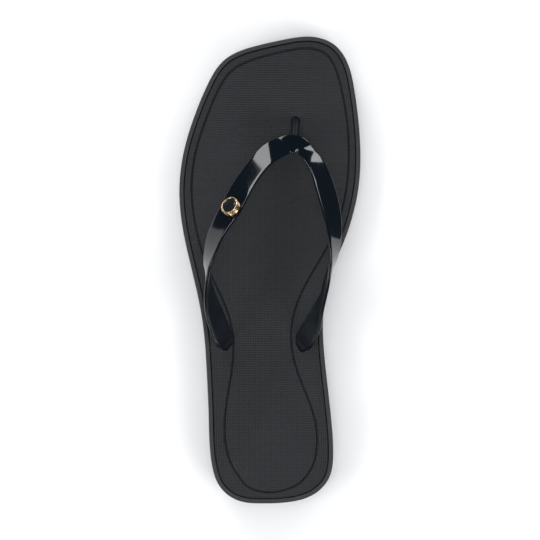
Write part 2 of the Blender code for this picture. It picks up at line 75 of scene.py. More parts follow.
# The table round the sandal shines in the strap. The floor beyond it is the same colour, but is
# left out of reflections, as the dark room round such a table would be.
TABLE_LOW = (-0.32, -0.60)
TABLE_HIGH = (0.11, 0.60)
FLOOR_REACH = 6.0
TABLE_GREY = (0.80, 0.80, 0.80)
table_paint = bpy.data.materials.new("table_paint")
table_paint.use_nodes = True
table_shader = table_paint.node_tree.nodes["Principled BSDF"]
table_shader.inputs["Base Color"].default_value = (*TABLE_GREY, 1)
table_shader.inputs["Roughness"].default_value = 0.7
slab("table", TABLE_LOW, TABLE_HIGH, table_paint)
for name, low, high in (
    ("floor_left", (-FLOOR_REACH, -FLOOR_REACH), (TABLE_LOW[0], FLOOR_REACH)),
    ("floor_right", (TABLE_HIGH[0], -FLOOR_REACH), (FLOOR_REACH, FLOOR_REACH)),
    ("floor_near", (TABLE_LOW[0], -FLOOR_REACH), (TABLE_HIGH[0], TABLE_LOW[1])),
    ("floor_far", (TABLE_LOW[0], TABLE_HIGH[1]), (TABLE_HIGH[0], FLOOR_REACH)),
):
    slab(name, low, high, table_paint).visible_glossy = False

# Soft boxes round the table: two beyond the toe and three beyond the heel show in the polish,
# as does a small one overhead. Two wide cloths fill the shadows and are kept out of reflections.
# Columns: direction and elevation in degrees, distance, width, height, watts, seen in shine.
SOFT_BOXES = (
    ("toe_left", 118, 22, 1.6, 0.62, 0.70, 8.4, True),
    ("toe_right", 53, 12, 1.6, 0.54, 0.62, 6.9, True),
    ("heel_right", -38, 40, 1.6, 0.80, 0.60, 11.0, True),
    ("heel_left", 203, 40, 1.6, 0.80, 0.60, 9.0, True),
    ("heel_middle", -92, 50, 1.6, 0.50, 0.30, 1.2, True),
    ("toe_wide", 86, 27, 1.8, 2.00, 0.80, 14.0, False),
    ("overhead", 90, 90, 1.7, 2.60, 2.60, 20.0, False),
    ("overhead_middle", 90, 90, 1.75, 0.60, 0.60, 5.0, True),
)
for name, direction, elevation, distance, width, height, watts, in_shine in SOFT_BOXES:
    light = bpy.data.lights.new(name, "AREA")
    light.shape = "RECTANGLE"
    light.size = width
    light.size_y = height
    light.energy = watts
    box = bpy.data.objects.new(name, light)
    bpy.context.scene.collection.objects.link(box)
    turn, lift = math.radians(direction), math.radians(elevation)
    ray = Vector((math.cos(turn) * math.cos(lift), math.sin(turn) * math.cos(lift), math.sin(lift)))
    box.location = distance * ray
    box.rotation_euler = ray.to_track_quat("Z", "Y").to_euler()
    box.visible_camera = False
    box.visible_glossy = in_shine

# The room above is dim, so the polished strap stays dark where it faces up.
ROOM_LIGHT = (0.070, 0.085, 0.105)
room = bpy.data.worlds.new("room")
room.use_nodes = True
room.node_tree.nodes["Background"].inputs["Color"].default_value = (*ROOM_LIGHT, 1)
bpy.context.scene.world = room


# Outsole. One moulded rubber cup in matte charcoal: flat heel and forefoot with cross grooves
# below, a tucked side with a thin moulded line round it, and a smooth rounded rim on top.
LENGTH = 0.256
BALL_WIDTH = 0.0996
HEEL_HEIGHT = 0.0210
BALL_HEIGHT = 0.0162
TOE_SPRING = 0.0050
ARCH_CLEARANCE = 0.0015
ARCH_LIFT = 0.0022
FOOTBED_THICKNESS = 0.0080
CLEARANCE = 0.0003
RIM_WIDTH = 0.0024
RIM_ROUND = 0.0010
LIP_ROUND = 0.0004
SIDE_TUCK = 0.0022
BOTTOM_ROUND = 0.0018
SIDE_GROOVE_HEIGHT = 0.0062
SIDE_GROOVE_WIDTH = 0.0012
SIDE_GROOVE_DEPTH = 0.0006
TREAD_WIDTH = 0.0022
TREAD_DEPTH = 0.0012
TREAD_PITCH = 0.0085
TREAD_MARGIN = 0.0090
FOREFOOT_TREADS = 7
FOREFOOT_TREADS_END = 0.815
HEEL_TREADS = 6
GROOVE_INSET = 0.0065
STATIONS = 640
OUTLINE_STEPS = 24
ROUND_STEPS = 6
LOW_SIDE_STEPS = 3
SIDE_GROOVE_STEPS = 8
HIGH_SIDE_STEPS = 8
OUTSOLE_COLUMNS = 6
SHARP_TURN = 40

# Outline from the toe tip down the inner side, round the heel and up the outer side.
# Columns: along (share of LENGTH from the heel), across (share of BALL_WIDTH, + is the inner
# side), groove (distance of the panel groove from the outline, share of GROOVE_INSET).
OUTLINE = (
    (1.0000, 0.2219, 1.00),
    (0.9828, 0.3574, 1.08),
    (0.9434, 0.4307, 1.14),
    (0.8926, 0.4649, 1.08),
    (0.8125, 0.4920, 0.98),
    (0.7418, 0.5010, 1.00),
    (0.6734, 0.4890, 1.02),
    (0.6219, 0.4618, 1.02),
    (0.5703, 0.4197, 1.06),
    (0.5188, 0.3655, 1.25),
    (0.4504, 0.3133, 1.97),
    (0.3820, 0.2952, 2.64),
    (0.2961, 0.3082, 2.48),
    (0.1934, 0.3373, 1.46),
    (0.1074, 0.3514, 1.46),
    (0.0563, 0.3303, 1.72),
    (0.0207, 0.2490, 1.57),
    (0.0031, 0.1104, 1.12),
    (0.0000, -0.0402, 1.00),
    (0.0066, -0.1757, 1.55),
    (0.0359, -0.2731, 1.83),
    (0.0840, -0.3173, 1.57),
    (0.1797, -0.3343, 1.38),
    (0.2961, -0.3474, 2.22),
    (0.3820, -0.3665, 2.34),
    (0.4848, -0.4197, 1.46),
    (0.5703, -0.4709, 1.15),
    (0.6602, -0.4990, 1.06),
    (0.7559, -0.4739, 1.01),
    (0.8352, -0.4116, 1.03),
    (0.8961, -0.3454, 1.03),
    (0.9492, -0.2540, 1.11),
    (0.9816, -0.0633, 1.03),
    (0.9945, 0.0904, 0.97),
)
HEEL_ROW = 18

# Side profile. Columns: along, wedge (0 at the ball's height, 1 at the heel's), spring (share
# of TOE_SPRING), arch (share of ARCH_CLEARANCE and ARCH_LIFT), dish (share of DISH_DEPTH).
PROFILE = (
    (0.00, 1.00, 0.00, 0.0, 0.6),
    (0.10, 1.00, 0.00, 0.0, 1.0),
    (0.22, 0.96, 0.00, 0.0, 1.0),
    (0.34, 0.84, 0.00, 0.6, 0.8),
    (0.44, 0.60, 0.00, 1.0, 0.5),
    (0.54, 0.30, 0.00, 0.5, 0.4),
    (0.62, 0.10, 0.00, 0.0, 0.4),
    (0.72, 0.00, 0.00, 0.0, 0.4),
    (0.82, -0.06, 0.06, 0.0, 0.4),
    (0.92, -0.14, 0.42, 0.0, 0.4),
    (1.00, -0.22, 1.00, 0.0, 0.3),
)
PROFILE_COLUMNS = ("along", "wedge", "spring", "arch", "dish")


def station(along):
    """Place on the sole for a share of its length from the heel."""
    return (along - 0.5) * LENGTH


def smooth_through(rows, steps, closed=False):
    """Points along a cubic spline through the rows, spaced by chord length."""
    points = np.array(rows, dtype=float)
    count = len(points)
    following = np.roll(points, -1, axis=0)
    chords = np.linalg.norm((following - points)[:, :2], axis=1)
    system = np.eye(count)
    target = np.zeros_like(points)
    first, last = (0, count) if closed else (1, count - 1)
    for i in range(first, last):
        before, after = chords[i - 1], chords[i]
        ahead, behind = (i + 1) % count, i - 1
        system[i] = 0
        system[i, behind] += before
        system[i, i] += 2 * (before + after)
        system[i, ahead] += after
        target[i] = 6 * ((points[ahead] - points[i]) / after - (points[i] - points[behind]) / before)
    bend = np.linalg.solve(system, target)
    result = []
    for i in range(count if closed else count - 1):
        j = (i + 1) % count
        for step in range(steps):
            b = step / steps
            a = 1 - b
            curve = (a ** 3 - a) * bend[i] + (b ** 3 - b) * bend[j]
            result.append(a * points[i] + b * points[j] + curve * chords[i] ** 2 / 6)
    if not closed:
        result.append(points[-1])
    return np.array(result)


def evenly(points, spans):
    """The same line cut into equal lengths, without its last point."""
    lengths = np.linalg.norm(np.diff(points[:, :2], axis=0), axis=1)
    travelled = np.concatenate([[0], np.cumsum(lengths)])
    wanted = np.linspace(0, travelled[-1], spans + 1)[:-1]
    return np.stack([np.interp(wanted, travelled, column) for column in points.T], axis=1)


def outline_stations():
    """Outline points, inward normals and groove distances at even steps round the sole."""
    rows = [(station(along), beside * BALL_WIDTH, groove * GROOVE_INSET)
            for along, beside, groove in OUTLINE]
    line = smooth_through(rows, OUTLINE_STEPS, closed=True)
    line = np.vstack([line, line[:1]])
    heel = HEEL_ROW * OUTLINE_STEPS
    half = STATIONS // 2
    even = np.vstack([evenly(line[: heel + 1], half), evenly(line[heel:], half)])
    points = even[:, [1, 0]]
    run = np.roll(points, -1, axis=0) - np.roll(points, 1, axis=0)
    run /= np.linalg.norm(run, axis=1)[:, None]
    return points, np.stack([run[:, 1], -run[:, 0]], axis=1), even[:, 2]


outline_points, inward, groove_line = outline_stations()


def profile(y, column):
    """A column of the side profile at y, by a cubic that never overshoots its rows."""
    table = np.array(PROFILE)
    xs = table[:, 0]
    values = table[:, PROFILE_COLUMNS.index(column)]
    steps = np.diff(values) / np.diff(xs)
    joined = steps[:-1] * steps[1:]
    inner = np.where(joined > 0, 2 * joined / np.where(joined > 0, steps[:-1] + steps[1:], 1), 0)
    slopes = np.concatenate([[0], inner, steps[-1:]])
    along = np.clip(np.asarray(y) / LENGTH + 0.5, 0, 1)
    k = np.clip(np.searchsorted(xs, along, side="right") - 1, 0, len(xs) - 2)
    width = xs[k + 1] - xs[k]
    t = (along - xs[k]) / width
    ends = values[k] * (1 + 2 * t) * (1 - t) ** 2 + values[k + 1] * t * t * (3 - 2 * t)
    return ends + width * (slopes[k] * t * (1 - t) ** 2 - slopes[k + 1] * t * t * (1 - t))


def underside(x, y):
    return profile(y, "spring") * TOE_SPRING + profile(y, "arch") * ARCH_CLEARANCE


def level_rim(y):
    wedge = profile(y, "wedge") * (HEEL_HEIGHT - BALL_HEIGHT)
    return BALL_HEIGHT + wedge + profile(y, "spring") * TOE_SPRING


def rim_top(x, y):
    inner = np.clip(np.asarray(x) / (0.5 * BALL_WIDTH), 0, 1)
    return level_rim(y) + inner * profile(y, "arch") * ARCH_LIFT


def cup_floor(x, y):
    return level_rim(y) - FOOTBED_THICKNESS


def ring(inset, height, drop=0.0):
    """The outline moved inward, at a height that follows a surface, less a drop."""
    place = outline_points + inward * np.reshape(inset, (-1, 1))
    level = height(place[:, 0], place[:, 1]) - drop
    return np.column_stack([place, level])


def rounded(inset, height, radius, quarter):
    """Rings over a rounded corner; quarter names the corner's side."""
    rings = []
    for step in range(ROUND_STEPS + 1):
        turn = 0.5 * math.pi * step / ROUND_STEPS
        if quarter == "outer_top":
            shift, drop = radius * (1 - math.cos(turn)), radius * (1 - math.sin(turn))
        elif quarter == "inner_top":
            shift, drop = radius * (math.sin(turn) - 1), radius * (1 - math.cos(turn))
        else:
            shift, drop = radius * (1 - math.sin(turn)), radius * (math.cos(turn) - 1)
        rings.append(ring(inset + shift, height, drop))
    return rings


def across_rows(edge, columns, height):
    """Points between the two sides of a closed ring, row by row from its first point."""
    count = len(edge)
    share = np.linspace(0, 1, columns + 1)[1:-1, None]
    rows = []
    for i in range(1, count // 2):
        start, end = edge[i], edge[count - i]
        inside = start + share * (end - start)
        inside[:, 2] = height(inside[:, 0], inside[:, 1], start, end)
        rows.append(inside)
    return rows


def bands(ring_count, count):
    """Faces between rings of points that follow each other."""
    faces = []
    for k in range(ring_count - 1):
        for i in range(count):
            j = (i + 1) % count
            faces.append((k * count + i, k * count + j, (k + 1) * count + j, (k + 1) * count + i))
    return faces


def skin(name, rings, columns, floor_height, top_height):
    """A closed mesh of rings, filled from side to side at its first and its last ring."""
    count = len(rings[0])
    points = [np.vstack(rings)]
    faces = bands(len(rings), count)
    total = len(rings) * count
    for base, height, flip in ((0, floor_height, True), (len(rings) - 1, top_height, False)):
        rows = across_rows(rings[base], columns, height)
        grid = []
        for i, row in enumerate(rows, start=1):
            inside = list(range(total, total + len(row)))
            total += len(row)
            points.append(row)
            grid.append([base * count + i] + inside + [base * count + count - i])
        patch = []
        for row, following in zip(grid[:-1], grid[1:]):
            for k in range(columns):
                patch.append((row[k], following[k], following[k + 1], row[k + 1]))
        for k in range(columns):
            patch.append((base * count, grid[0][k], grid[0][k + 1]))
            patch.append((base * count + count // 2, grid[-1][k + 1], grid[-1][k]))
        faces += [face[::-1] for face in patch] if flip else patch
    mesh = bpy.data.meshes.new(name)
    mesh.from_pydata(np.vstack(points).tolist(), [], faces)
    mesh.update()
    return mesh


def tidy_normals(mesh):
    bm = bmesh.new()
    bm.from_mesh(mesh)
    bmesh.ops.recalc_face_normals(bm, faces=bm.faces)
    bm.to_mesh(mesh)
    bm.free()


def place_piece(mesh, finish, node):
    """Put a piece of the sandal in the scene, in place of its plain solid."""
    made = bpy.data.objects.new(mesh.name, mesh)
    mesh.materials.clear()
    mesh.materials.append(finish)
    mesh.polygons.foreach_set("material_index", [0] * len(mesh.polygons))
    mesh.shade_smooth()
    mesh.set_sharp_from_angle(angle=math.radians(SHARP_TURN))
    bpy.context.scene.collection.objects.link(made)
    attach(made, "root")
    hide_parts(node)


def combined(mesh, tool, operation):
    """The mesh joined with or cut by a tool's mesh."""
    body = bpy.data.objects.new(mesh.name + "_body", mesh)
    other = bpy.data.objects.new(tool.name, tool)
    for made in (body, other):
        bpy.context.scene.collection.objects.link(made)
    modifier = body.modifiers.new("combine", "BOOLEAN")
    modifier.operation = operation
    modifier.solver = "EXACT"
    modifier.object = other
    bpy.context.view_layer.update()
    evaluated = body.evaluated_get(bpy.context.evaluated_depsgraph_get())
    result = bpy.data.meshes.new_from_object(evaluated)
    name = mesh.name
    bpy.data.objects.remove(body)
    bpy.data.objects.remove(other)
    bpy.data.meshes.remove(mesh)
    bpy.data.meshes.remove(tool)
    result.name = name
    return result


class Wire:
    """An output of a material's node. Arithmetic on it adds Math nodes."""

    def __init__(self, tree, socket=None):
        self.tree = tree
        self.socket = socket

    def node(self, kind, settings, values, output=0):
        """Add any other node: its settings first, then values or links for its sockets."""
        made = self.tree.nodes.new(kind)
        for name, value in settings.items():
            setattr(made, name, value)
        for name, value in values.items():
            if isinstance(value, Wire):
                self.tree.links.new(value.socket, made.inputs[name])
            else:
                made.inputs[name].default_value = value
        return Wire(self.tree, made.outputs[output])

    def place(self):
        """The piece's own coordinates."""
        return self.node("ShaderNodeTexCoord", {}, {}, output="Object")

    def noise(self, scale, detail):
        """Soft noise at the place that this wire carries."""
        return self.node("ShaderNodeTexNoise", {}, {"Vector": self, "Scale": scale, "Detail": detail})

    def bump(self, strength, distance):
        """A normal bumped by the height that this wire carries."""
        return self.node("ShaderNodeBump", {}, {
            "Strength": strength, "Distance": distance, "Height": self})

    def maths(self, operation, first, second=0.0):
        return self.node("ShaderNodeMath", {"operation": operation}, {0: first, 1: second})

    def __add__(self, other):
        return self.maths("ADD", self, other)

    __radd__ = __add__

    def __rsub__(self, other):
        return self.maths("SUBTRACT", other, self)

    def __mul__(self, other):
        return self.maths("MULTIPLY", self, other)

    __rmul__ = __mul__


def blank_finish(name, **constants):
    """A new material: its shader with plain values set, and a wire to build on."""
    made = bpy.data.materials.new(name)
    made.use_nodes = True
    shader = made.node_tree.nodes["Principled BSDF"]
    for socket, value in constants.items():
        shader.inputs[socket.replace("_", " ")].default_value = value
    return made, shader, Wire(made.node_tree)


def feed(wires, shader):
    """Link finished values to the shader's sockets, given by their names."""
    for name, wire in wires.items():
        wire.tree.links.new(wire.socket, shader.inputs[name])


def mixed(start, factor, first, second):
    """A colour between two plain colours."""
    return start.node("ShaderNodeMix", {"data_type": "RGBA"},
                      {"Factor": factor, 6: (*first, 1), 7: (*second, 1)}, output=2)


RUBBER_DARK = (0.0160, 0.0168, 0.0182)
RUBBER_PALE = (0.0225, 0.0236, 0.0255)
RUBBER_GRAIN = 1400
RUBBER_CLOUD = 45


def rubber_finish():
    """Matte charcoal rubber with the very fine grain of a blasted mould."""
    made, shader, start = blank_finish("charcoal_rubber", IOR=1.45)
    place = start.place()
    cloud = place.noise(RUBBER_CLOUD, 3)
    grain = place.noise(RUBBER_GRAIN, 2)
    bump = grain.bump(0.25, 0.00015)
    feed({
        "Base Color": mixed(start, 0.6 * cloud + 0.4 * grain, RUBBER_DARK, RUBBER_PALE),
        "Roughness": 0.50 + 0.16 * grain,
        "Normal": bump,
    }, shader)
    return made


def tread_bars():
    """Bars that cut the cross grooves of the heel and forefoot."""
    bm = bmesh.new()
    heel_start = station(0.0) + SIDE_TUCK + BOTTOM_ROUND + TREAD_MARGIN
    forefoot_end = station(FOREFOOT_TREADS_END)
    places = [heel_start + k * TREAD_PITCH for k in range(HEEL_TREADS)]
    places += [forefoot_end - k * TREAD_PITCH for k in range(FOREFOOT_TREADS)]
    for y in places:
        near = outline_points[np.argsort(abs(outline_points[:, 1] - y))[:4], 0]
        low, high = near.min() + TREAD_MARGIN, near.max() - TREAD_MARGIN
        middle = Vector((0.5 * (low + high), y, float(underside(0, y))))
        shape = Matrix.Diagonal((high - low, TREAD_WIDTH, 2 * TREAD_DEPTH, 1))
        bmesh.ops.create_cube(bm, size=1.0, matrix=Matrix.Translation(middle) @ shape)
    mesh = bpy.data.meshes.new("tread_bars")
    bm.to_mesh(mesh)
    bm.free()
    return mesh


def outsole_rings():
    """Rings from the underside out, up the side, over the rim and down into the cup."""
    foot = BOTTOM_ROUND
    wall = BALL_HEIGHT - BOTTOM_ROUND - RIM_ROUND
    groove_mid = (SIDE_GROOVE_HEIGHT - BOTTOM_ROUND) / wall
    groove_half = 0.5 * SIDE_GROOVE_WIDTH / wall

    def side(share):
        return lambda x, y: (
            (1 - share) * (underside(x, y) + foot) + share * (rim_top(x, y) - RIM_ROUND)
        )

    rings = []
    for step in range(ROUND_STEPS + 1):
        turn = 0.5 * math.pi * step / ROUND_STEPS
        shift = foot * (1 - math.sin(turn))
        rings.append(ring(SIDE_TUCK + shift, underside, -foot * (1 - math.cos(turn))))
    shares = np.concatenate([
        np.linspace(0, groove_mid - groove_half, LOW_SIDE_STEPS + 1)[1:],
        groove_mid + groove_half * np.linspace(-1, 1, SIDE_GROOVE_STEPS + 1)[1:-1],
        np.linspace(groove_mid + groove_half, 1, HIGH_SIDE_STEPS + 1)[:-1],
    ])
    for share in shares:
        depth = max(0.0, 1 - ((share - groove_mid) / groove_half) ** 2)
        rings.append(ring(SIDE_TUCK * (1 - share) ** 2 + SIDE_GROOVE_DEPTH * depth, side(share)))
    rings += rounded(0.0, rim_top, RIM_ROUND, "outer_top")
    rings += rounded(RIM_WIDTH, rim_top, LIP_ROUND, "inner_top")
    rings.append(ring(RIM_WIDTH, cup_floor))
    return rings


outsole_mesh = skin("outsole_rubber", outsole_rings(), OUTSOLE_COLUMNS,
                    lambda x, y, start, end: underside(x, y),
                    lambda x, y, start, end: cup_floor(x, y))
tidy_normals(outsole_mesh)
outsole_mesh = combined(outsole_mesh, tread_bars(), "DIFFERENCE")
place_piece(outsole_mesh, rubber_finish(), "outsole")


# Footbed. A foam insert let into the cup, charcoal like the rubber and moulded with a fine
# square weave. A thin groove marks off the dished panel, and the strap passes down through it.
FOOTBED_DROP = 0.0004
FLANGE_ROUND = 0.0007
GROOVE_WIDTH = 0.0016
GROOVE_DEPTH = 0.0013
GROOVE_FULLNESS = 0.7
GROOVE_STEPS = 6
PANEL_STEP = 0.0005
DISH_DEPTH = 0.0022
DISH_SPAN = 0.0180
FOOTBED_COLUMNS = 72


def flange_top(x, y):
    return rim_top(x, y) - FOOTBED_DROP


def panel_edge(x, y):
    return flange_top(x, y) - PANEL_STEP


def ease(t):
    t = np.clip(t, 0, 1)
    return t * t * (3 - 2 * t)


def panel_height(x, y, start, end):
    """Dished panel: level with its groove at the edge, lower towards the middle."""
    from_side = np.minimum(np.hypot(x - start[0], y - start[1]), np.hypot(x - end[0], y - end[1]))
    tip = 0.5 * LENGTH - GROOVE_INSET - abs(y)
    sunk = ease(from_side / DISH_SPAN) * ease(tip / DISH_SPAN)
    return panel_edge(x, y) - profile(y, "dish") * DISH_DEPTH * sunk


def footbed_rings():
    """Rings from the foot of the insert up its side, over the flange and across the groove."""
    outer = RIM_WIDTH + CLEARANCE
    half = 0.5 * GROOVE_WIDTH
    rings = [ring(outer, cup_floor, -CLEARANCE)]
    rings += rounded(outer, flange_top, FLANGE_ROUND, "outer_top")
    flat = outer + FLANGE_ROUND
    for share in (0.25, 0.5, 0.75, 1.0):
        rings.append(ring(flat + share * (groove_line - half - flat), flange_top))
    for step in range(1, 2 * GROOVE_STEPS):
        place = step / GROOVE_STEPS - 1
        fall = GROOVE_DEPTH * (0.5 + 0.5 * math.cos(math.pi * place)) ** GROOVE_FULLNESS
        lean = PANEL_STEP * (0.5 + 0.5 * place)
        rings.append(ring(groove_line + half * place, flange_top, max(fall, lean)))
    rings.append(ring(groove_line + half, panel_edge))
    return rings


# The dark end is reached in the weave's low lines, so it stands partly for painted shade in the
# weave's hollows.
FOAM_DARK = (0.0004, 0.0005, 0.0008)
FOAM_PALE = (0.0250, 0.0268, 0.0308)
FOAM_CLOUD = 38
FOAM_GRAIN = 420
WEAVE_PITCH = 0.00125
WEAVE_RELIEF = 0.00020
CORD_CONTRAST = 0.26
HEEL_RIB_CONTRAST = 0.24
TOE_RIB_CONTRAST = 0.08
RIBS_FULL_UP_TO = -0.010
RIBS_FAINT_FROM = 0.050


def foam_finish():
    """Matte foam moulded with fine cords across the foot and ribs along it, faint at the toes, with
    painted shade: the colour darkens in the weave's low lines.
    """
    made, shader, start = blank_finish("woven_foam", IOR=1.42)
    place = start.place()
    beside = start.node("ShaderNodeSeparateXYZ", {}, {"Vector": place}, output="X")
    along = start.node("ShaderNodeSeparateXYZ", {}, {"Vector": place}, output="Y")
    turn = 2 * math.pi / WEAVE_PITCH
    ribs = start.maths("SINE", beside * turn)
    cords = start.maths("SINE", along * turn)
    rib_contrast = start.node("ShaderNodeMapRange", {}, {
        "Value": along, "From Min": RIBS_FAINT_FROM, "From Max": RIBS_FULL_UP_TO,
        "To Min": TOE_RIB_CONTRAST, "To Max": HEEL_RIB_CONTRAST}, output="Result")
    weave = 0.5 + rib_contrast * ribs + CORD_CONTRAST * cords
    cloud = place.noise(FOAM_CLOUD, 4)
    grain = place.noise(FOAM_GRAIN, 3)
    # Painted shade: the weave's relief height also darkens the colour in its low lines; cloud and
    # grain are the foam's own random tone.
    tone_and_painted_weave_shade = 0.55 * weave + 0.20 * cloud + 0.25 * grain
    bump = weave.bump(0.8, WEAVE_RELIEF)
    feed({
        "Base Color": mixed(start, tone_and_painted_weave_shade, FOAM_DARK, FOAM_PALE),
        "Roughness": 0.86 - 0.16 * weave,
        "Normal": bump,
    }, shader)
    return made


footbed_mesh = skin("footbed_foam", footbed_rings(), FOOTBED_COLUMNS,
                    lambda x, y, start, end: cup_floor(x, y) + CLEARANCE, panel_height)
tidy_normals(footbed_mesh)


# Strap. One moulded V of glossy plastic, polished outside and matte inside: two legs that
# meet over the toes, a toe post, and flat plugs that hold its three ends under the footbed.
STRAP_WIDTH = 0.0146
STRAP_THICKNESS = 0.0022
STRAP_EDGE_ROUND = 0.0007
STRAP_DRAFT = 0.0007
STRAP_CROWN = 0.0001
STRAP_RISE = 0.0360
JUNCTION_WIDTH = 0.0108
CROTCH_RADIUS = 0.0035
POST_DIAMETER = 0.0047
PLUG_DIAMETER = 0.0120
PLUG_HEIGHT = 0.0016
PLUG_SIDES = 48
STRAP_STEPS = 10
TAIL_ROWS = 5

# Legs from the junction down to the footbed. Columns: along, across, rise (height of the
# strap's middle above the rim, share of STRAP_RISE), width (share of STRAP_WIDTH), roll
# (degrees, 0 lies flat, 90 stands on edge, more turns the inner face up).
OUTER_LEG = (
    (0.750, 0.020, 0.594, 0.915, 31),
    (0.728, -0.040, 0.650, 0.910, 36),
    (0.664, -0.151, 0.801, 1.005, 38),
    (0.629, -0.196, 0.869, 1.020, 40),
    (0.576, -0.272, 0.961, 0.925, 48),
    (0.538, -0.303, 0.998, 0.920, 60),
    (0.506, -0.322, 0.991, 0.890, 75),
    (0.472, -0.322, 0.894, 0.850, 96),
    (0.445, -0.316, 0.750, 0.840, 114),
    (0.420, -0.302, 0.586, 0.840, 132),
    (0.392, -0.280, 0.392, 0.845, 143),
    (0.368, -0.259, 0.236, 0.850, 147),
    (0.353, -0.243, 0.116, 0.820, 149),
    (0.344, -0.234, 0.038, 0.690, 151),
    (0.337, -0.228, -0.026, 0.450, 151),
)
INNER_LEG = (
    (0.739, 0.231, 0.587, 0.750, 39),
    (0.723, 0.260, 0.633, 0.830, 42),
    (0.681, 0.303, 0.753, 0.940, 44),
    (0.638, 0.334, 0.861, 0.985, 48),
    (0.588, 0.357, 0.956, 0.950, 56),
    (0.556, 0.361, 0.999, 0.920, 66),
    (0.525, 0.356, 1.004, 0.870, 77),
    (0.489, 0.336, 0.945, 0.850, 92),
    (0.456, 0.314, 0.807, 0.840, 99),
    (0.418, 0.279, 0.582, 0.840, 118),
    (0.390, 0.248, 0.392, 0.840, 141),
    (0.368, 0.218, 0.240, 0.840, 149),
    (0.353, 0.195, 0.124, 0.830, 152),
    (0.343, 0.180, 0.044, 0.710, 153),
    (0.335, 0.168, -0.022, 0.470, 153),
)
# Anchor plugs under the footbed: along, across, width share and roll of the strap's end there.
OUTER_PLUG = (0.330, -0.221, 0.36, 151)
INNER_PLUG = (0.327, 0.157, 0.38, 153)

# Junction of the two legs: an arc round the crotch, from the outer leg over its middle to the
# inner leg. Columns: heading from the crotch, rise, width (share of JUNCTION_WIDTH), roll.
CROTCH_ALONG = 0.7320
CROTCH_ACROSS = 0.1374
JUNCTION = (
    (122, 0.540, 1.110, 25),
    (107, 0.530, 1.040, 20),
    (92, 0.524, 1.000, 17),
    (78, 0.522, 0.980, 18),
    (66, 0.525, 0.950, 22),
    (55, 0.532, 0.925, 28),
    (46, 0.540, 0.910, 33),
)

# Toe post from the junction down to its plug. Columns: along, across, rise (share of the
# height from the rim to the junction), thickness (share of POST_DIAMETER).
TOE_POST = (
    (0.7690, 0.1390, 0.78, 1.12),
    (0.7850, 0.1402, 0.50, 1.00),
    (0.8040, 0.1416, 0.22, 1.00),
    (0.8180, 0.1424, -0.04, 1.00),
)
POST_PLUG = (0.8200, 0.1424)
POST_ROOT_SHARE = 1.15
POST_ROOT_SINK = 0.0008
POST_SIDES = 32


def plug_level(y):
    return float(cup_floor(0, y)) + 2 * CLEARANCE + 0.5 * PLUG_HEIGHT


def leg_rows(rows, plug):
    placed = []
    for along, beside, rise, width, roll in rows:
        y = station(along)
        height = float(level_rim(y)) + rise * STRAP_RISE
        placed.append((beside * BALL_WIDTH, y, height, width * STRAP_WIDTH, roll))
    along, beside, width, roll = plug
    y = station(along)
    placed.append((beside * BALL_WIDTH, y, plug_level(y), width * STRAP_WIDTH, roll))
    return placed


def junction_rows():
    """The arc round the crotch that joins the two legs."""
    crotch_x = CROTCH_ACROSS * BALL_WIDTH
    crotch_y = station(CROTCH_ALONG)
    rows = []
    for heading, rise, share, roll in JUNCTION:
        width = share * JUNCTION_WIDTH
        lean = math.radians(roll)
        half = 0.5 * (width * math.cos(lean) + STRAP_THICKNESS * math.sin(lean))
        radius = CROTCH_RADIUS + half
        x = crotch_x + radius * math.cos(math.radians(heading))
        y = crotch_y + radius * math.sin(math.radians(heading))
        rows.append((x, y, float(level_rim(y)) + rise * STRAP_RISE, width, roll))
    return rows


def strap_frames():
    """Middle, outward edge direction, face direction and width at each section of the V."""
    rows = leg_rows(OUTER_LEG, OUTER_PLUG)[::-1] + junction_rows() + leg_rows(INNER_LEG, INNER_PLUG)
    line = smooth_through(rows, STRAP_STEPS)
    middles = line[:, :3]
    runs = np.gradient(middles, axis=0)
    frames = []
    for middle, run, width, roll in zip(middles, runs, line[:, 3], np.radians(line[:, 4])):
        run = Vector(run).normalized()
        outward = Vector((0, 0, 1)).cross(run).normalized()
        upward = run.cross(outward)
        edge = math.cos(roll) * outward - math.sin(roll) * upward
        face = math.sin(roll) * outward + math.cos(roll) * upward
        frames.append((Vector(middle), edge, face, width))
    return frames


FACE_POINTS = 9
CORNER_POINTS = 7


def strap_section(width, grow):
    """Points round the section: crowned polished face, round edges, flat inner face."""
    round_off = STRAP_EDGE_ROUND + grow
    side = 0.5 * width + grow - round_off
    through = 0.5 * STRAP_THICKNESS + grow - round_off
    points = []
    for side_x, side_z, start in ((1, 1, 0), (-1, 1, 90), (-1, -1, 180), (1, -1, 270)):
        reach = side if side_z > 0 else side - STRAP_DRAFT
        for turn in np.linspace(0, 90, CORNER_POINTS):
            angle = math.radians(start + turn)
            points.append((side_x * reach + round_off * math.cos(angle),
                           side_z * through + round_off * math.sin(angle)))
        if start in (0, 180):
            ends = np.linspace(1, -1, FACE_POINTS + 2)[1:-1] * side_z
            crown = STRAP_CROWN if side_z > 0 else 0.0
            for place in ends:
                lift = side_z * (through + round_off) + crown * (1 - place ** 2)
                points.append((place * reach, lift))
    return points


def closed_tube(name, points, sides):
    """A mesh of rings of points that follow each other, closed at both ends."""
    faces = bands(len(points) // sides, sides)
    last = len(points) - sides
    faces.append(tuple(range(sides)))
    faces.append(tuple(range(last, last + sides)))
    mesh = bpy.data.meshes.new(name)
    mesh.from_pydata([tuple(point) for point in points], [], faces)
    tidy_normals(mesh)
    return mesh


def loft(name, frames, grow=0.0):
    """The strap's section carried along its frames."""
    points = []
    for middle, edge, face, width in frames:
        points += [middle + edge * a + face * b for a, b in strap_section(width, grow)]
    return closed_tube(name, points, 4 * CORNER_POINTS + 2 * FACE_POINTS)


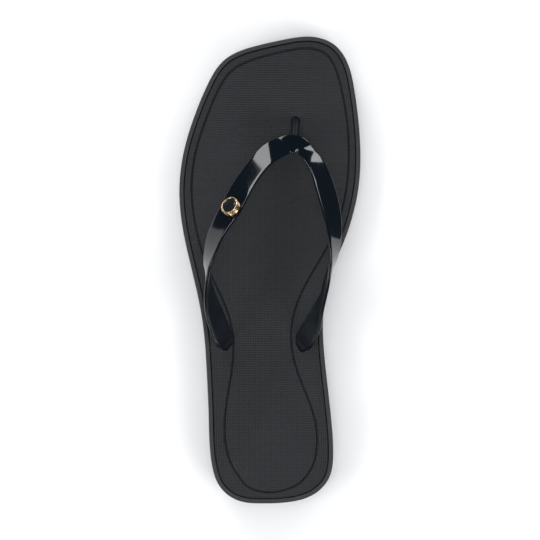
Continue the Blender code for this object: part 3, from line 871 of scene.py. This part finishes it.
def post_tube(name, grow):
    """The toe post as a round tube along its own line."""
    root_x, root_y, root_z = junction_rows()[len(JUNCTION) // 2][:3]
    rim = float(level_rim(root_y))
    rows = [(root_z - POST_ROOT_SINK, root_x, root_y, POST_ROOT_SHARE)]
    for along, beside, rise, thickness in TOE_POST:
        y = station(along)
        rows.append((float(level_rim(y)) + rise * (root_z - rim), beside * BALL_WIDTH, y, thickness))
    along, beside = POST_PLUG
    y = station(along)
    rows.append((plug_level(y), beside * BALL_WIDTH, y, 1.0))
    line = smooth_through(rows, STRAP_STEPS)
    middles = line[:, [1, 2, 0]]
    runs = np.gradient(middles, axis=0)
    points = []
    for middle, run, share in zip(middles, runs, line[:, 3]):
        run = Vector(run).normalized()
        side = run.cross(Vector((0, 1, 0))).normalized()
        front = side.cross(run)
        radius = float(0.5 * POST_DIAMETER * share + grow)
        for turn in np.linspace(0, 2 * math.pi, POST_SIDES, endpoint=False):
            points.append(Vector(middle) + radius * (math.cos(turn) * side + math.sin(turn) * front))
    return closed_tube(name, points, POST_SIDES)


def plug_discs(name, grow):
    """The flat plugs under the footbed, or the pockets for them when grown."""
    bm = bmesh.new()
    for row in (OUTER_PLUG, INNER_PLUG, POST_PLUG):
        y = station(row[0])
        top = plug_level(y) + 0.5 * PLUG_HEIGHT + grow
        bottom = float(cup_floor(0, y)) - CLEARANCE if grow else plug_level(y) - 0.5 * PLUG_HEIGHT
        middle = Vector((row[1] * BALL_WIDTH, y, 0.5 * (top + bottom)))
        radius = 0.5 * PLUG_DIAMETER + grow
        bmesh.ops.create_cone(bm, cap_ends=True, segments=PLUG_SIDES, radius1=radius, radius2=radius,
                              depth=top - bottom, matrix=Matrix.Translation(middle))
    mesh = bpy.data.meshes.new(name)
    bm.to_mesh(mesh)
    bm.free()
    return mesh


STRAP_POLISHED = (0.0012, 0.0028, 0.0050)
STRAP_MATTE = (0.0020, 0.0044, 0.0070)
STRAP_GRAIN = 1600
STRAP_FLOW = 60
POLISH_FADE = 0.6


def strap_finish():
    """Navy black plastic: wet shine outside, a soft dull skin inside."""
    made, shader, start = blank_finish("navy_gloss", IOR=1.50)
    dull = start.node("ShaderNodeAttribute", {"attribute_name": "inside"}, {}, output="Fac")
    place = start.place()
    grain = place.noise(STRAP_GRAIN, 2)
    flow = place.noise(STRAP_FLOW, 2)
    bump = (dull * grain + 0.15 * flow).bump(0.30, 0.00004)
    feed({
        "Base Color": mixed(start, dull, STRAP_POLISHED, STRAP_MATTE),
        "Roughness": 0.06 + dull * (0.28 + 0.12 * grain) + 0.02 * flow,
        "Normal": bump,
    }, shader)
    return made


def mark_inside(mesh, frames):
    """Mark how far each point lies towards the strap's inner face, post and plugs included."""
    middles = np.array([middle for middle, edge, face, width in frames])
    faces = np.array([face for middle, edge, face, width in frames])
    points = np.array([vertex.co for vertex in mesh.vertices])
    inside = []
    for point in points:
        nearest = np.argmin(np.sum((middles - point) ** 2, axis=1))
        depth = float(np.dot(point - middles[nearest], faces[nearest]))
        inside.append(min(max(0.5 - depth / (POLISH_FADE * STRAP_THICKNESS), 0.0), 1.0))
    layer = mesh.attributes.new("inside", "FLOAT", "POINT")
    layer.data.foreach_set("value", inside)


frames = strap_frames()
kept = TAIL_ROWS * STRAP_STEPS + 1
strap_mesh = loft("strap_gloss", frames)
strap_mesh = combined(strap_mesh, post_tube("toe_post", 0.0), "UNION")
strap_mesh = combined(strap_mesh, plug_discs("plugs", 0.0), "UNION")
mark_inside(strap_mesh, frames)
place_piece(strap_mesh, strap_finish(), "strap")

# The footbed gets the slots, the hole and the pockets that the strap sits in.
footbed_mesh = combined(footbed_mesh, loft("outer_slot", frames[:kept], CLEARANCE), "DIFFERENCE")
footbed_mesh = combined(footbed_mesh, loft("inner_slot", frames[-kept:], CLEARANCE), "DIFFERENCE")
footbed_mesh = combined(footbed_mesh, post_tube("post_hole", CLEARANCE), "DIFFERENCE")
footbed_mesh = combined(footbed_mesh, plug_discs("plug_pockets", CLEARANCE), "DIFFERENCE")
place_piece(footbed_mesh, foam_finish(), "footbed")


# Stud. A small turned drum plated in pale gold, with rings round its side, fixed to the outer
# leg with its axis square to the strap. A plain black enamel disc is let into its top.
STUD_DIAMETER = 0.0100
STUD_BASE_DIAMETER = 0.0096
STUD_HEIGHT = 0.0036
STUD_EDGE_ROUND = 0.0003
STUD_NECK_DEPTH = 0.0006
STUD_LIP = 0.0007
STUD_RECESS = 0.0008
ENAMEL_THICKNESS = 0.0005
STUD_ROW = 3
STUD_SHIFT = 0.0018
STUD_FOOT = 0.17
STUD_SIDES = 96

# Rings round the drum's side from the top. Columns: upper and lower edge, shares of STUD_HEIGHT.
STUD_RINGS = (
    (1.00, 0.80),
    (0.70, 0.53),
    (0.43, 0.27),
)


def stud_matrix():
    before_junction = len(OUTER_LEG) - STUD_ROW
    middle, edge, face, width = frames[before_junction * STRAP_STEPS]
    turn = Matrix((edge, edge.cross(face), face)).transposed().to_4x4()
    seat = middle - edge * STUD_SHIFT + face * (0.5 * STRAP_THICKNESS + STRAP_CROWN + CLEARANCE)
    return Matrix.Translation(seat) @ turn


def turned(name, outline):
    """A turned piece from radius and height pairs, running down its outer side."""
    seat = stud_matrix()
    points = []
    for radius, height in outline[1:-1]:
        for turn in np.linspace(0, 2 * math.pi, STUD_SIDES, endpoint=False):
            points.append(seat @ Vector((radius * math.cos(turn), radius * math.sin(turn), height)))
    return closed_tube(name, points, STUD_SIDES)


def arc(radius, height, size, start, end, steps=4):
    """Points round an edge: its middle, its size and the turns it runs between, in degrees."""
    turns = np.radians(np.linspace(start, end, steps + 1))
    return [(radius + size * math.cos(turn), height + size * math.sin(turn)) for turn in turns]


def drum_outline():
    full = 0.5 * STUD_DIAMETER
    lip = full - STUD_LIP
    soft = STUD_EDGE_ROUND
    recess = STUD_HEIGHT - STUD_RECESS
    outline = [(0, recess), (lip, recess)]
    outline += arc(lip + soft, STUD_HEIGHT - soft, soft, 180, 90)
    for upper, lower in STUD_RINGS:
        outline += arc(full - soft, upper * STUD_HEIGHT - soft, soft, 90, 0)
        outline += arc(full - soft, lower * STUD_HEIGHT + soft, soft, 0, -90)
        outline.append((full - STUD_NECK_DEPTH, lower * STUD_HEIGHT - soft))
    base = 0.5 * STUD_BASE_DIAMETER
    outline += arc(base - soft, STUD_FOOT * STUD_HEIGHT - soft, soft, 90, 0)
    return outline + [(base, 0), (0, 0)]


def disc_outline():
    radius = 0.5 * STUD_DIAMETER - STUD_LIP - CLEARANCE
    low = STUD_HEIGHT - STUD_RECESS + CLEARANCE
    high = low + ENAMEL_THICKNESS
    soft = 0.5 * STUD_EDGE_ROUND
    rounded_edge = arc(radius - soft, high - soft, soft, 90, 0)
    return [(0, high)] + rounded_edge + [(radius, low), (0, low)]


GOLD = (0.78, 0.60, 0.38)
GOLD_DEEP = (0.70, 0.52, 0.31)
GOLD_CLOUD = 300
ENAMEL_DARK = (0.004, 0.004, 0.005)
ENAMEL_PALE = (0.010, 0.010, 0.011)
ENAMEL_RIPPLE = 500


def gold_finish():
    """Pale gold plating, polished, a little uneven in tone and shine."""
    made, shader, start = blank_finish("pale_gold", Metallic=1.0)
    tone = start.place().noise(GOLD_CLOUD, 1)
    feed({
        "Base Color": mixed(start, tone, GOLD_DEEP, GOLD),
        "Roughness": 0.20 + 0.08 * tone,
    }, shader)
    return made


def enamel_finish():
    """Black glass-like enamel with a slight ripple."""
    made, shader, start = blank_finish("black_enamel", IOR=1.55)
    ripple = start.place().noise(ENAMEL_RIPPLE, 1)
    feed({
        "Base Color": mixed(start, ripple, ENAMEL_DARK, ENAMEL_PALE),
        "Roughness": 0.08 + 0.06 * ripple,
        "Normal": ripple.bump(0.2, 0.00005),
    }, shader)
    return made


place_piece(turned("stud_gold", drum_outline()), gold_finish(), "stud_drum")
place_piece(turned("stud_enamel_disc", disc_outline()), enamel_finish(), "stud_enamel")
